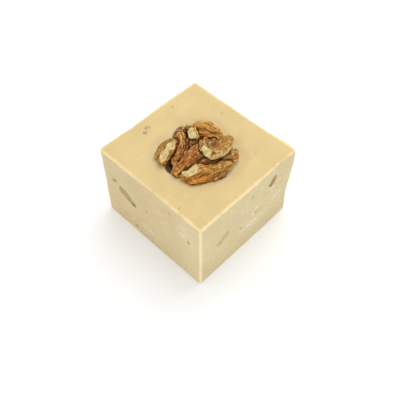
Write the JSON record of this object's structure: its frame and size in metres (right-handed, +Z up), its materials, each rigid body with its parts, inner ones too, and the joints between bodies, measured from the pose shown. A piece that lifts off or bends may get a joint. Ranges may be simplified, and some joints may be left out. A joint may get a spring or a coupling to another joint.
{
  "type": "maple walnut fudge square",
  "caption": "Cut square of pale maple fudge with a walnut half pressed into its top and walnut pieces showing in its cut sides.",
  "frame": {"origin": "middle of the block's flat base", "axes": "+Z up from the base through the walnut; +X and -Y point out of the two sides that meet at the crispest upright edge, and the longer cut is along X"},
  "size_m": [0.0507, 0.049, 0.0396],
  "materials": {
    "fudge": "smooth sugary fudge, soft satin top, finer crumbly grain on the cut sides",
    "walnut": "wrinkled golden to red-brown walnut skin with pale rubbed patches",
    "walnut_flesh": "pale cut walnut flesh with a thin brown skin line"
  },
  "bodies": {
    "root": {"fudge_block": "fudge", "walnut_half": "walnut", "walnut_bit_front_large": "walnut_flesh", "walnut_bit_front_small": "walnut_flesh", "walnut_bit_right_brown": "walnut_flesh", "walnut_bit_right_crumb": "walnut_flesh", "walnut_bit_right_pale": "walnut_flesh", "walnut_bit_back_pale": "walnut_flesh", "walnut_bit_back_brown": "walnut_flesh", "walnut_bit_left_large": "walnut_flesh", "walnut_bit_left_brown": "walnut_flesh"}
  },
  "joints": []
}
